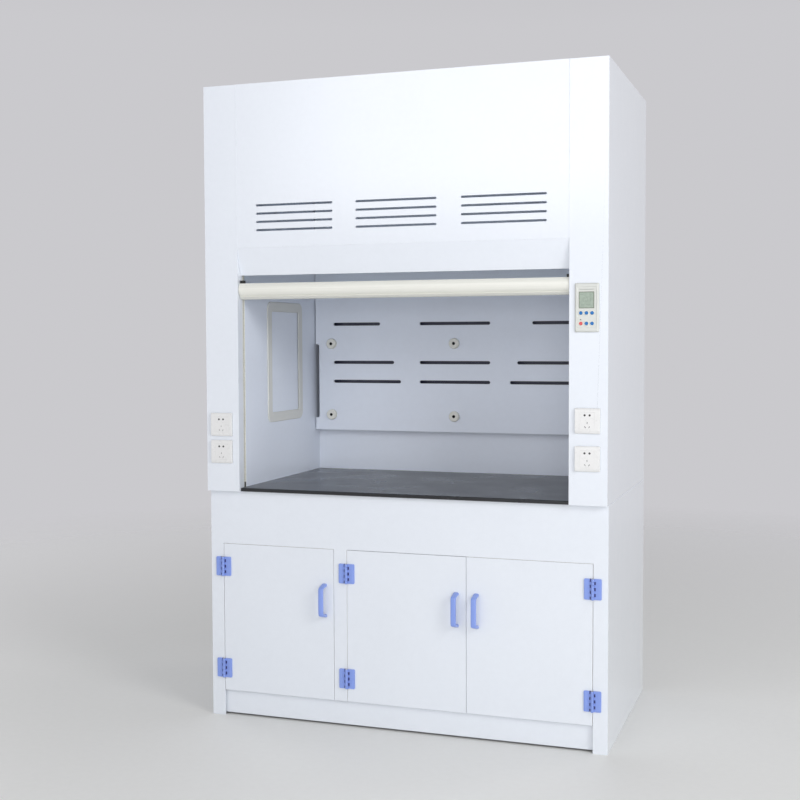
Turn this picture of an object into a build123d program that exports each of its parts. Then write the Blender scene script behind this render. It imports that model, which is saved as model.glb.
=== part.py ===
from build123d import *
import os

# A walk-up polypropylene fume hood on a three-door base cabinet.
# Millimetres. Origin on the floor under the middle of the whole box, +Z up.
# The hood faces -Y, and +X is to the viewer's right.

# ---- driving dimensions -------------------------------------------------
WIDTH = 1500.0
DEPTH = 850.0            # hood shell, front plane to back
HEIGHT = 2350.0          # floor to hood top, collar not counted
DECK_Z = 855.0           # top of the base cabinet
SHEET = 8.0              # polypropylene sheet
HANDLE_LEAD = 15.0       # door handles reach this far ahead of the hood front
BASE_SETBACK = 25.0      # base cabinet front behind the hood front

FRONT = -(DEPTH - HANDLE_LEAD) / 2
BACK = FRONT + DEPTH
FACE = FRONT + BASE_SETBACK
HALF = WIDTH / 2
INSIDE = HALF - SHEET

# base cabinet
PLINTH_TOP = 92.0
PLINTH_SETBACK = 15.0
FLOOR_CLEARANCE = 8.0
DOOR_LOW = 97.0
DOOR_HIGH = 655.0
DOOR_GAP = 1.4
DOOR_FRAME = 10.0        # stiffening rim welded behind each door sheet
DOOR_RIM = 28.0
STILE_INNER = 698.0
MULLION = (-252.0, -202.0)
MEETING_X = 249.5
HINGE_Z = (182.0, 568.0)
HANDLE_Z = 464.0
HANDLE_INSET = 36.0

# hinges
LEAF_WIDE = 30.0
LEAF_TALL = 72.0
LEAF_THICK = 5.0
BARREL_R = 5.5
BARREL_OUT = 8.0         # hinge axis ahead of the cabinet face
KNUCKLES = 7
KNUCKLE_GAP = 0.3
NOTCH = 10.5             # leaf edge to hinge axis where the other leaf's knuckle sits
PIN_R = 2.5
RUNNING = 0.06           # radial clearance of every pin and shaft in its hole

# worktop and chamber
WORKTOP_THICK = 13.0
WORKTOP_FRONT = FRONT + 10.0
JAMB = 618.0             # half width of the sash opening and of the chamber
PILLAR_RETURN = 39.0
TRACK_END = 58.0
LINER_BACK = 766.0
BAFFLE_FRONT = 718.0
BAFFLE_LOW = 1037.0
BAFFLE_HIGH = 2170.0
CEILING_Z = 2230.0
FASCIA_LOW = 1756.0
HEADER_LOW = 1655.0
HEADER_SETBACK = 25.0

# sash
SASH_DEPTH = 48.5        # middle of the glass behind the hood front
GLASS = 6.0
BAR_LOW = 1567.0
BAR_HIGH = 1626.0
BAR_HALF = 616.5
SASH_TOP = 2320.0
GUIDE_OUTER = 631.0
ROPE_X = 642.0
ROPE_R = 1.5
PULLEY_Z = 2285.0
PULLEY_R = 40.0          # to the middle of the rope
SHAFT_R = 8.0

# services
DUCT_R = 125.0
DUCT_WALL = 4.0
DUCT_DEPTH = 560.0       # collar axis behind the hood front
COLLAR_TOP = HEIGHT + 65.0
OUTLET = 86.0
OUTLETS = ((682.0, 1142.0), (682.0, 1014.0), (-687.0, 1104.0), (-687.0, 1003.0))
CONTROL_X = 679.0
CONTROL_Z = 1522.0
BUTTON_R = 5.8
BUTTON_X = (659.0, 678.0, 697.0)
BUTTON_ROWS = {1504.0: ("lamp", "fan", "socket"), 1469.0: ("power", "down", "up")}


# ---- helpers ------------------------------------------------------------
def box(x, y, z):
    """A box from three (low, high) pairs."""
    (x0, x1), (y0, y1), (z0, z1) = sorted(x), sorted(y), sorted(z)
    corner = (Align.MIN, Align.MIN, Align.MIN)
    return Pos(x0, y0, z0) * Box(x1 - x0, y1 - y0, z1 - z0, align=corner)


def rod(radius, start, end):
    """A round bar between two points on a line along X, Y or Z."""
    a, b = Vector(*start), Vector(*end)
    place = Plane(origin=a, z_dir=b - a)
    low = (Align.CENTER, Align.CENTER, Align.MIN)
    return place * Cylinder(radius, (b - a).length, align=low)


def slot(length, high, x, z, y):
    """A round-ended slot cutter along X, through the pair of depths y."""
    return prism_y(Pos(x, z) * SlotOverall(length, high), y)


def prism_y(sketch, y):
    """A sketch drawn in X and Z, pushed from the low to the high depth of y."""
    low, high = sorted(y)
    place = Plane(origin=(0, high, 0), x_dir=(1, 0, 0), z_dir=(0, -1, 0))
    return extrude(place * sketch, high - low)


def prism_x(points, x):
    """An outline of (depth, height) points, pushed across the pair of widths x."""
    low, high = sorted(x)
    place = Plane(origin=(low, 0, 0), x_dir=(0, 1, 0), z_dir=(1, 0, 0))
    return extrude(place * make_face(Polyline(*points, close=True)), high - low)


def behind(*depths):
    """Depths behind the hood front, as places along Y."""
    return tuple(FRONT + depth for depth in depths)


def save(name, *solids):
    shape = solids[0] if len(solids) == 1 else Compound(children=list(solids))
    export_step(shape, f"parts/{name}.step")


def both(make):
    """The same piece on the left and on the right."""
    return make(-1), make(1)


# ---- base cabinet -------------------------------------------------------
def base_side(side):
    return box((side * INSIDE, side * HALF), (FACE + SHEET, BACK), (0, DECK_Z))


def face_frame():
    """Stiles, apron and mullion, cut from one sheet."""
    sheet = box((-HALF, HALF), (FACE, FACE + SHEET), (0, DECK_Z))
    through = (FACE - 1, FACE + SHEET + 1)
    for low, high in ((-STILE_INNER - 1, MULLION[0]), (MULLION[1], STILE_INNER + 1)):
        sheet -= box((low, high), through, (PLINTH_TOP, DOOR_HIGH))
    return sheet - box((-STILE_INNER - 1, STILE_INNER + 1), through, (-1, PLINTH_TOP + 5))


def base_panels():
    save("base_side_left", base_side(-1))
    save("base_side_right", base_side(1))
    save("face_frame", face_frame())
    inner = (-INSIDE, INSIDE)
    save("base_back", box(inner, (BACK - SHEET, BACK), (0, DECK_Z - SHEET)))
    plinth_y = FACE + PLINTH_SETBACK
    plinth_x = (-INSIDE, INSIDE)
    save("plinth", box(plinth_x, (plinth_y, plinth_y + SHEET), (FLOOR_CLEARANCE, PLINTH_TOP)))
    depth = (FACE + SHEET + DOOR_FRAME + 2, BACK - SHEET)
    save("base_floor", box(inner, depth, (PLINTH_TOP, PLINTH_TOP + SHEET)))
    save("base_deck", box(inner, (FACE + SHEET, BACK), (DECK_Z - SHEET, DECK_Z)))
    middle = sum(MULLION) / 2
    divider_x = (middle - SHEET / 2, middle + SHEET / 2)
    divider_z = (PLINTH_TOP + SHEET, DECK_Z - SHEET)
    foot = (FACE + SHEET, depth[0])
    divider = box(divider_x, depth, divider_z)
    save("base_divider", divider + box(divider_x, foot, divider_z))


# ---- doors --------------------------------------------------------------
def knuckle_span(index):
    tall = LEAF_TALL / KNUCKLES
    return index * tall + KNUCKLE_GAP / 2, (index + 1) * tall - KNUCKLE_GAP / 2


def hinge_leaf(axis_x, low_z, side):
    """One leaf on the given side of the axis, with every second knuckle; the right leaf has the end ones."""
    first = 0 if side > 0 else 1
    axis_y = FACE - BARREL_OUT
    outer = axis_x + side * LEAF_WIDE
    plate = box((axis_x + side * NOTCH, outer), (FACE - LEAF_THICK, FACE), (low_z, low_z + LEAF_TALL))
    upright = plate.edges().filter_by(Axis.Z).group_by(Axis.Y)[0]
    corner = upright.sort_by(Axis.X)[-1 if side > 0 else 0]
    plate = fillet(corner, LEAF_THICK / 3)
    for index in range(first, KNUCKLES, 2):
        low, high = (low_z + edge for edge in knuckle_span(index))
        web = box((axis_x, axis_x + side * (NOTCH + 1)), (FACE - LEAF_THICK, FACE - 1), (low, high))
        plate += web + rod(BARREL_R, (axis_x, axis_y, low), (axis_x, axis_y, high))
    bore = rod(PIN_R + RUNNING, (axis_x, axis_y, low_z - 1), (axis_x, axis_y, low_z + LEAF_TALL + 1))
    return plate - bore


def hinge_pin(axis_x, low_z):
    """A pin with a thin head at each end."""
    axis_y = FACE - BARREL_OUT
    high_z = low_z + LEAF_TALL
    head = 1.2
    pin = rod(PIN_R, (axis_x, axis_y, low_z), (axis_x, axis_y, high_z))
    for z in (low_z - head, high_z):
        pin += rod(PIN_R + 1.5, (axis_x, axis_y, z), (axis_x, axis_y, z + head))
    return pin


def door_panel(low_x, high_x):
    """A flat sheet with a stiffening rim behind it."""
    sheet = box((low_x, high_x), (FACE, FACE + SHEET), (DOOR_LOW, DOOR_HIGH - DOOR_GAP))
    rim_y = (FACE + SHEET, FACE + SHEET + DOOR_FRAME)
    rim = box((low_x, high_x), rim_y, (DOOR_LOW, DOOR_HIGH - DOOR_GAP))
    inner_x = (low_x + DOOR_RIM, high_x - DOOR_RIM)
    inner_z = (DOOR_LOW + DOOR_RIM, DOOR_HIGH - DOOR_GAP - DOOR_RIM)
    return sheet + rim - box(inner_x, rim_y, inner_z)


def bow_handle(x):
    """A bow pull with slanted legs, flat feet and rounded edges."""
    wide, out, high, grip = 20.0, 40.0, 126.0, 9.0
    foot, straight = 13.0, 92.0
    low, top = HANDLE_Z - high / 2, HANDLE_Z + high / 2
    grip_low, grip_top = HANDLE_Z - straight / 2, HANDLE_Z + straight / 2
    outline = [
        (FACE, low), (FACE - out + grip, low + 6), (FACE - out, grip_low), (FACE - out, grip_top),
        (FACE - out + grip, top - 6), (FACE, top), (FACE, top - foot),
        (FACE - out + grip + 6, top - foot - 5), (FACE - out + grip, grip_top - 8),
        (FACE - out + grip, grip_low + 8), (FACE - out + grip + 6, low + foot + 5), (FACE, low + foot),
    ]
    bow = prism_x(outline, (x - wide / 2, x + wide / 2))
    turns = bow.edges().filter_by(Axis.X).group_by(Axis.Y)[:-1]
    bow = fillet([edge for group in turns for edge in group], 3.0)
    flats = [face for face in bow.faces() if abs(face.normal_at().X) > 0.99]
    rims = [edge for face in flats for edge in face.edges() if edge.center().Y < FACE - 0.5]
    return fillet(rims, 2.0)


def doors():
    gap = DOOR_GAP / 2
    spans = {
        "left": (-STILE_INNER + gap, MULLION[0] - DOOR_GAP, -1),
        "middle": (MULLION[1] + DOOR_GAP, MEETING_X - gap, -1),
        "right": (MEETING_X + gap, STILE_INNER - gap, 1),
    }
    fixed, pins = [], []
    for name, (low_x, high_x, side) in spans.items():
        hinged, free = (high_x, low_x) if side > 0 else (low_x, high_x)
        axis_x = hinged + side * DOOR_GAP / 2
        leaves = []
        for z in HINGE_Z:
            low_z = z - LEAF_TALL / 2
            leaves.append(hinge_leaf(axis_x, low_z, -side))
            fixed.append(hinge_leaf(axis_x, low_z, side))
            pins.append(hinge_pin(axis_x, low_z))
        save(f"door_{name}", door_panel(low_x, high_x))
        save(f"door_{name}_hinge_leaves", *leaves)
        save(f"door_{name}_handle", bow_handle(free + side * HANDLE_INSET))
    save("hinge_frame_leaves", *fixed)
    save("hinge_pins", *pins)


# ---- hood shell ---------------------------------------------------------
def hood_side(side):
    panel = box((side * INSIDE, side * HALF), behind(SHEET, DEPTH), (DECK_Z, HEIGHT))
    seam = box((side * (HALF - 1), side * HALF), behind(SHEET, DEPTH), (DECK_Z, DECK_Z + 1))
    return panel - seam


def pillar(side):
    """A welded corner post: front plate, return at the sash opening and bottom plate."""
    post = box((side * JAMB, side * HALF), behind(0, SHEET), (DECK_Z, HEIGHT))
    inner_x = (side * JAMB, side * (JAMB + SHEET))
    post += box(inner_x, behind(SHEET, PILLAR_RETURN), (DECK_Z, HEIGHT - SHEET))
    floor_x = (side * (JAMB + SHEET), side * INSIDE)
    post += box(floor_x, behind(SHEET, PILLAR_RETURN), (DECK_Z, DECK_Z + SHEET))
    through = behind(-1, SHEET + 1)
    for x, z in OUTLETS:
        if x * side > 0:
            post -= box((x - 30, x + 30), through, (z - 30, z + 30))
    if side > 0:
        post -= box((CONTROL_X - 32, CONTROL_X + 32), through, (CONTROL_Z - 68, CONTROL_Z + 68))
    return post


def fascia():
    """The upper front panel with three groups of four bypass slots."""
    panel = box((-JAMB, JAMB), behind(0, SHEET), (FASCIA_LOW, HEIGHT))
    for x in (-390.0, 0.0, 390.0):
        for z in (1818.0, 1848.0, 1878.0, 1908.0):
            panel -= slot(302.0, 8.0, x, z, behind(-1, SHEET + 1))
    return panel


def header():
    """The slanted strip between the fascia and the sash."""
    top, low = FRONT, FRONT + HEADER_SETBACK
    outline = [
        (top, FASCIA_LOW), (low, HEADER_LOW), (low + SHEET, HEADER_LOW), (top + SHEET, FASCIA_LOW),
    ]
    return prism_x(outline, (-JAMB, JAMB))


def hood_top():
    panel = box((-INSIDE, INSIDE), behind(SHEET, DEPTH - SHEET), (HEIGHT - SHEET, HEIGHT))
    y = FRONT + DUCT_DEPTH
    return panel - rod(DUCT_R + 0.5, (0, y, HEIGHT - 20), (0, y, HEIGHT + 20))


def exhaust_collar():
    y = FRONT + DUCT_DEPTH
    tube = rod(DUCT_R, (0, y, CEILING_Z), (0, y, COLLAR_TOP))
    tube += rod(DUCT_R + 30, (0, y, HEIGHT), (0, y, HEIGHT + 6))
    return tube - rod(DUCT_R - DUCT_WALL, (0, y, CEILING_Z - 1), (0, y, COLLAR_TOP + 1))


def hood_shell():
    save("hood_side_left", hood_side(-1))
    save("hood_side_right", hood_side(1))
    back_y = behind(DEPTH - SHEET, DEPTH)
    save("hood_back", box((-INSIDE, INSIDE), back_y, (DECK_Z, HEIGHT)))
    save("hood_top", hood_top())
    save("exhaust_collar", exhaust_collar())
    save("pillar_left", pillar(-1))
    save("pillar_right", pillar(1))
    save("fascia", fascia())
    save("header", header())


# ---- chamber ------------------------------------------------------------
ACCESS_DEPTH = (250.0, 580.0)
ACCESS_Z = (1095.0, 1566.0)
GASKET = 38.0
SOCKET_X = (-539.0, 0.0, 539.0)
SOCKET_Z = (1102.0, 1400.0)
SOCKET_R = 21.5
LAMP_DEPTH = (125.0, 235.0)
LAMP_HALF = 480.0


def round_rect(depth, height, radius, x):
    """A rounded rectangle block in depth and height, across the pair of widths x."""
    low, high = sorted(x)
    wide, tall = depth[1] - depth[0], height[1] - height[0]
    middle = (low, FRONT + sum(depth) / 2, sum(height) / 2)
    place = Plane(origin=middle, x_dir=(0, 1, 0), z_dir=(1, 0, 0))
    return extrude(place * RectangleRounded(wide, tall, radius), high - low)


def shrink(pair, by):
    return pair[0] + by, pair[1] - by


def liner(side):
    """A side liner with an access opening and the hole the cross shaft runs in."""
    x = (side * JAMB, side * (JAMB + SHEET))
    panel = box(x, behind(TRACK_END, LINER_BACK), (DECK_Z, HEIGHT - SHEET))
    hole_x = (side * (JAMB - 1), side * (JAMB + SHEET + 1))
    hole = round_rect(shrink(ACCESS_DEPTH, GASKET / 2), shrink(ACCESS_Z, GASKET / 2), 12.0, hole_x)
    y = FRONT + SASH_DEPTH + PULLEY_R
    shaft_hole = rod(SHAFT_R + RUNNING, (hole_x[0], y, PULLEY_Z), (hole_x[1], y, PULLEY_Z))
    return panel - hole - shaft_hole


def access_gasket(side):
    """A push-in frame around the access opening, standing 4 mm off the liner."""
    face, back = side * JAMB, side * (JAMB + SHEET)
    front_x = (face - side * 4, face)
    ring = round_rect(ACCESS_DEPTH, ACCESS_Z, 30.0, front_x)
    neck_depth, neck_z = shrink(ACCESS_DEPTH, GASKET / 2), shrink(ACCESS_Z, GASKET / 2)
    ring += round_rect(neck_depth, neck_z, 12.0, (face, back))
    window_x = (face - side * 5, back + side)
    return ring - round_rect(shrink(ACCESS_DEPTH, GASKET), shrink(ACCESS_Z, GASKET), 8.0, window_x)


def access_panel(side):
    x = (side * (JAMB + 1), side * (JAMB + 5))
    return round_rect(shrink(ACCESS_DEPTH, GASKET), shrink(ACCESS_Z, GASKET), 8.0, x)


def baffle():
    """The slotted rear baffle, with a tall notch in each side edge."""
    y = behind(BAFFLE_FRONT, BAFFLE_FRONT + SHEET)
    half = JAMB - 4
    plate = box((-half, half), y, (BAFFLE_LOW, BAFFLE_HIGH))
    through = behind(BAFFLE_FRONT - 1, BAFFLE_FRONT + SHEET + 1)
    ends = {1482.0: 323.0, 1322.0: 262.0, 1242.0: 232.0}
    for z, inner in ends.items():
        plate -= slot(300.0, 13.0, 0, z, through)
        length = 532.0 - inner
        for side in (-1, 1):
            plate -= slot(length, 13.0, side * (inner + length / 2), z, through)
    for side in (-1, 1):
        notch = Pos(side * half, 1243.0) * RectangleRounded(32.0, 310.0, 8.0)
        plate -= prism_y(notch, through)
    for x in SOCKET_X:
        for z in SOCKET_Z:
            plate -= rod(12.5, (x, FRONT + BAFFLE_FRONT - 1, z), (x, FRONT + BAFFLE_FRONT + 20, z))
    return plate


def rod_socket(x, z):
    """A round boss with a stem to the back liner and a blind bore for a 12 mm rod."""
    face, shoulder, wall = FRONT + BAFFLE_FRONT - 15, FRONT + BAFFLE_FRONT, FRONT + LINER_BACK
    boss = rod(SOCKET_R, (x, shoulder, z), (x, face, z))
    boss = chamfer(boss.edges().group_by(Axis.Y)[0], 3.0)
    boss += rod(12.5, (x, shoulder, z), (x, wall, z))
    return boss - rod(6.25, (x, face - 1, z), (x, face + 40, z))


def chamber_ceiling():
    y = behind(TRACK_END + 17, LINER_BACK)
    panel = box((-JAMB, JAMB), y, (CEILING_Z, CEILING_Z + SHEET))
    window_y = behind(*shrink(LAMP_DEPTH, 12))
    window = box((-LAMP_HALF + 12, LAMP_HALF - 12), window_y, (CEILING_Z - 1, CEILING_Z + 20))
    duct = FRONT + DUCT_DEPTH
    return panel - window - rod(DUCT_R + 0.5, (0, duct, CEILING_Z - 1), (0, duct, CEILING_Z + 20))


def lamp():
    """A fluorescent lamp that shines down through a pane in the chamber ceiling."""
    top = CEILING_Z + SHEET
    x, y = (-LAMP_HALF, LAMP_HALF), behind(*LAMP_DEPTH)
    save("lamp_glass", box(x, y, (top, top + 4)))
    trough = box(x, y, (top + 4, top + 70))
    inner_y = (y[0] + 2, y[1] - 2)
    trough -= box((-LAMP_HALF + 2, LAMP_HALF - 2), inner_y, (top + 3, top + 68))
    middle, tube_z = sum(y) / 2, top + 38
    holders = [(side * (LAMP_HALF - 2), side * (LAMP_HALF - 22)) for side in (-1, 1)]
    for holder in holders:
        trough += box(holder, (middle - 12, middle + 12), (tube_z - 16, top + 68))
    save("lamp_housing", trough)
    end = LAMP_HALF - 22
    save("lamp_tube", rod(13, (-end, middle, tube_z), (end, middle, tube_z)))


def chamber():
    slab_z = (DECK_Z, DECK_Z + WORKTOP_THICK)
    worktop = box((-JAMB + 0.5, JAMB - 0.5), (WORKTOP_FRONT, FRONT + LINER_BACK), slab_z)
    front_top = worktop.edges().filter_by(Axis.X).group_by(Axis.Y)[0].sort_by(Axis.Z)[-1]
    save("worktop", chamfer(front_top, 2.5))
    save("liner_left", liner(-1))
    save("liner_right", liner(1))
    save("access_gaskets", *both(access_gasket))
    save("access_panels", *both(access_panel))
    back_x = (-JAMB - SHEET, JAMB + SHEET)
    back_y = behind(LINER_BACK, LINER_BACK + SHEET)
    save("back_liner", box(back_x, back_y, (DECK_Z, CEILING_Z + SHEET)))
    save("baffle", baffle())
    save("rod_sockets", *[rod_socket(x, z) for x in SOCKET_X for z in SOCKET_Z])
    save("chamber_ceiling", chamber_ceiling())
    lamp()


# ---- sash and its balance -----------------------------------------------
TRACK_WALL = 3.0
TRACK_HALF_SLOT = 6.5
TRACK_OUTER = 652.0
TRACK_TOP = 2240.0
STOP_HIGH = 18.0


def sash_track(side):
    """A channel with its mouth towards the opening, deep enough for guide and rope."""
    z = (DECK_Z, TRACK_TOP)
    track = box((side * JAMB, side * TRACK_OUTER), behind(PILLAR_RETURN, TRACK_END), z)
    slot_y = behind(SASH_DEPTH - TRACK_HALF_SLOT, SASH_DEPTH + TRACK_HALF_SLOT)
    return track - box((side * (JAMB - 1), side * (TRACK_OUTER - TRACK_WALL)), slot_y, z)


def track_stop(side):
    """A rubber block at the foot of the slot, where the closed sash lands."""
    slot_y = behind(SASH_DEPTH - TRACK_HALF_SLOT, SASH_DEPTH + TRACK_HALF_SLOT)
    top = DECK_Z + WORKTOP_THICK + STOP_HIGH
    return box((side * JAMB, side * GUIDE_OUTER), slot_y, (DECK_Z, top))


def sash_bar():
    """The pull bar: a bulging front over a lip, with a slot for the pane."""
    back = FRONT + 54
    bulge, lip, foot = FRONT + 4, FRONT + 16, FRONT + 23
    groove_z, lip_z = BAR_LOW + 12.5, BAR_LOW + 10.5
    front = ThreePointArc((lip, groove_z), (bulge, BAR_LOW + 36), (FRONT + 15, BAR_HIGH))
    rest = Polyline(
        (FRONT + 15, BAR_HIGH), (back, BAR_HIGH), (back, BAR_LOW), (foot + 3, BAR_LOW),
        (foot, BAR_LOW + 1.5), (lip - 2, lip_z - 1), (lip - 2, lip_z), (lip + 1.5, lip_z),
        (lip + 1.5, groove_z), (lip, groove_z),
    )
    place = Plane(origin=(-BAR_HALF, 0, 0), x_dir=(0, 1, 0), z_dir=(1, 0, 0))
    bar = extrude(place * make_face([front, rest]), 2 * BAR_HALF)
    pane_y = behind(SASH_DEPTH - GLASS / 2, SASH_DEPTH + GLASS / 2)
    return bar - box((-BAR_HALF - 1, BAR_HALF + 1), pane_y, (PANE_LOW, BAR_HIGH + 1))


PANE_LOW = BAR_LOW + 23
PANE_HALF = GUIDE_OUTER - 4
GUIDE_HALF = 5.0


def sash_frame():
    """Two side guides with a lug at the foot of each for its rope, and a top rail."""
    y = behind(SASH_DEPTH - GUIDE_HALF, SASH_DEPTH + GUIDE_HALF)
    frame = box((-GUIDE_OUTER, GUIDE_OUTER), y, (SASH_TOP - 15, SASH_TOP))
    for side in (-1, 1):
        frame += box((side * BAR_HALF, side * GUIDE_OUTER), y, (BAR_LOW, SASH_TOP))
        frame += box((side * GUIDE_OUTER, side * (ROPE_X + 5)), y, (BAR_LOW + 33, BAR_HIGH - 1))
    pane_y = behind(SASH_DEPTH - GLASS / 2, SASH_DEPTH + GLASS / 2)
    return frame - box((-PANE_HALF, PANE_HALF), pane_y, (PANE_LOW, SASH_TOP - 7))


def bar_bumper(side):
    return box((side * (BAR_HALF - 11), side * BAR_HALF), behind(18, 42), (BAR_HIGH, BAR_HIGH + 11))


def sash_pulley(side):
    """A grooved wheel fixed to the cross shaft."""
    y = FRONT + SASH_DEPTH + PULLEY_R
    groove, rim = PULLEY_R - ROPE_R - 0.3, PULLEY_R + 3
    half, throat = 7.0, 2.2
    outline = [
        (SHAFT_R, -half), (rim, -half), (rim, -throat - 2), (groove, -throat),
        (groove, throat), (rim, throat + 2), (rim, half), (SHAFT_R, half),
    ]
    section = Plane(origin=(side * ROPE_X, y, PULLEY_Z), x_dir=(0, 1, 0), z_dir=(0, 0, 1))
    face = section * make_face(Polyline(*outline, close=True))
    spin = Axis((side * ROPE_X, y, PULLEY_Z), (1, 0, 0))
    return revolve(face, spin, 360)


def lift_rope(side):
    """From the sash lug up over the pulley and down to the counterweight."""
    x, near, far = side * ROPE_X, FRONT + SASH_DEPTH, FRONT + SASH_DEPTH + 2 * PULLEY_R
    up = Line((x, near, BAR_HIGH - 1), (x, near, PULLEY_Z))
    over = ThreePointArc((x, near, PULLEY_Z), (x, (near + far) / 2, PULLEY_Z + PULLEY_R), (x, far, PULLEY_Z))
    down = Line((x, far, PULLEY_Z), (x, far, WEIGHT_Z[1]))
    start = Plane(origin=(x, near, BAR_HIGH - 1), z_dir=(0, 0, 1))
    return sweep(start * Circle(ROPE_R), path=Wire([up, over, down]))


WEIGHT_WIDE = 24.0
WEIGHT_DEEP = 120.0
WEIGHT_Z = (900.0, 1290.0)


def counterweight(side):
    middle = FRONT + SASH_DEPTH + 2 * PULLEY_R
    x = (side * ROPE_X - WEIGHT_WIDE / 2, side * ROPE_X + WEIGHT_WIDE / 2)
    bar = box(x, (middle - WEIGHT_DEEP / 2, middle + WEIGHT_DEEP / 2), WEIGHT_Z)
    return chamfer(bar.edges().filter_by(Axis.X), 6.0)


def sash():
    save("sash_tracks", *both(sash_track))
    save("track_stops", *both(track_stop))
    save("sash_bar", sash_bar())
    pane_y = behind(SASH_DEPTH - GLASS / 2, SASH_DEPTH + GLASS / 2)
    save("sash_glass", box((-PANE_HALF, PANE_HALF), pane_y, (PANE_LOW, SASH_TOP - 7)))
    save("sash_frame", sash_frame())
    save("bar_bumpers", *both(bar_bumper))
    y = FRONT + SASH_DEPTH + PULLEY_R
    save("pulley_shaft", rod(SHAFT_R, (-ROPE_X - 12, y, PULLEY_Z), (ROPE_X + 12, y, PULLEY_Z)))
    save("sash_pulleys", *both(sash_pulley))
    save("lift_ropes", *both(lift_rope))
    save("counterweights", *both(counterweight))


# ---- services on the pillars --------------------------------------------
SCREEN_HALF = 25.5
SCREEN_Z = (1520.0, 1575.0)
BUTTON_WELL = 6.0
BEZEL = 8.0


def controller_housing():
    """A bezel proud of the pillar with a box behind it, a screen recess and button wells."""
    half_x, half_z = 41.0, 82.0
    bezel_z = (CONTROL_Z - half_z, CONTROL_Z + half_z)
    bezel = box((CONTROL_X - half_x, CONTROL_X + half_x), behind(-BEZEL, 0), bezel_z)
    bezel = chamfer(bezel.faces().sort_by(Axis.Y)[0].edges(), 2.5)
    bezel += box((CONTROL_X - 31, CONTROL_X + 31), behind(0, 36), (CONTROL_Z - 67, CONTROL_Z + 67))
    panel_x, panel_z = (CONTROL_X - 32, CONTROL_X + 32), (CONTROL_Z - 65, CONTROL_Z + 69)
    bezel -= box(panel_x, behind(-BEZEL - 1, -BEZEL + 1), panel_z)
    bezel -= box((BUTTON_X[1] - SCREEN_HALF, BUTTON_X[1] + SCREEN_HALF), behind(-BEZEL, -BEZEL + 3), SCREEN_Z)
    for z in BUTTON_ROWS:
        for x in BUTTON_X:
            bezel -= rod(BUTTON_R + 0.3, (x, FRONT - BEZEL, z), (x, FRONT - BEZEL + BUTTON_WELL, z))
    return bezel


def button(x, z):
    """A round cap that travels into its well."""
    low, high = FRONT - BEZEL - 0.8, FRONT - BEZEL + BUTTON_WELL - 1.8
    cap = rod(BUTTON_R, (x, high, z), (x, low, z))
    return fillet(cap.edges().group_by(Axis.Y)[0], 0.6)


def outlet_plate(x, z):
    half = OUTLET / 2
    plate = box((x - half, x + half), behind(-9, 0), (z - half, z + half))
    plate = chamfer(plate.faces().sort_by(Axis.Y)[0].edges(), 4.0)
    return plate - box((x - 26, x + 26), behind(-10, 1), (z - 30, z + 30))


def slit(x, z, wide, tall, turn):
    """A narrow contact opening, turned about the line of entry."""
    return prism_y(Pos(x, z) * Rot(0, 0, turn) * Rectangle(wide, tall), behind(-11, 8))


def outlet_socket(x, z):
    """A socket module with a two-pin and a three-pin entry."""
    module = box((x - 26, x + 26), behind(-9.6, 0), (z - 30, z + 30))
    module += box((x - 25, x + 25), behind(0, 34), (z - 29, z + 29))
    for side in (-1, 1):
        module -= slit(x + side * 8.5, z + 20, 5.0, 3.2, 0)
        module -= slit(x + side * 7, z - 21, 2.0, 7.0, side * 30)
    return module - slit(x, z - 7, 2.0, 7.0, 0)


def services():
    save("controller_housing", controller_housing())
    screen_x = (BUTTON_X[1] - SCREEN_HALF, BUTTON_X[1] + SCREEN_HALF)
    save("controller_screen", box(screen_x, behind(-BEZEL + 1.6, -BEZEL + 3), SCREEN_Z))
    for z, names in BUTTON_ROWS.items():
        for x, name in zip(BUTTON_X, names):
            save(f"{name}_button", button(x, z))
    save("outlet_plates", *[outlet_plate(x, z) for x, z in OUTLETS])
    save("outlet_sockets", *[outlet_socket(x, z) for x, z in OUTLETS])


os.makedirs("parts", exist_ok=True)
base_panels()
doors()
hood_shell()
chamber()
sash()
services()
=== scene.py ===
import math
import bmesh
import bpy
from mathutils import Matrix, Vector


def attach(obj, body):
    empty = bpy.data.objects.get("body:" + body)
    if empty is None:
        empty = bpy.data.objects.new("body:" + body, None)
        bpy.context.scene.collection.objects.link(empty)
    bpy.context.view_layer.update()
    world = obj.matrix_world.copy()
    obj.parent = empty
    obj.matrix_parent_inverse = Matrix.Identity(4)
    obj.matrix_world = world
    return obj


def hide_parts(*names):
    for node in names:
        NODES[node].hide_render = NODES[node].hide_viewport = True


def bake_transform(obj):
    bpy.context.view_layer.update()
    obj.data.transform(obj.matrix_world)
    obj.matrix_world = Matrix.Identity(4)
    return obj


# The looks of a white polypropylene fume hood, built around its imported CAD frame.
# Metres, in the frame's own axes: the hood faces -Y, +X is the viewer's right, +Z is up.

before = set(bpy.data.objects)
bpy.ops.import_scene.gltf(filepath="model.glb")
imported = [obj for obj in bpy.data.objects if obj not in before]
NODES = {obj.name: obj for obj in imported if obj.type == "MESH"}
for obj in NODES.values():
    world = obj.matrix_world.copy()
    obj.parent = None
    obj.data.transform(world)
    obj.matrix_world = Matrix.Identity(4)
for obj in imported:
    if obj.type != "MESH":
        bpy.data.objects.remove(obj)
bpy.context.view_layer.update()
MM = 0.001

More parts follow.
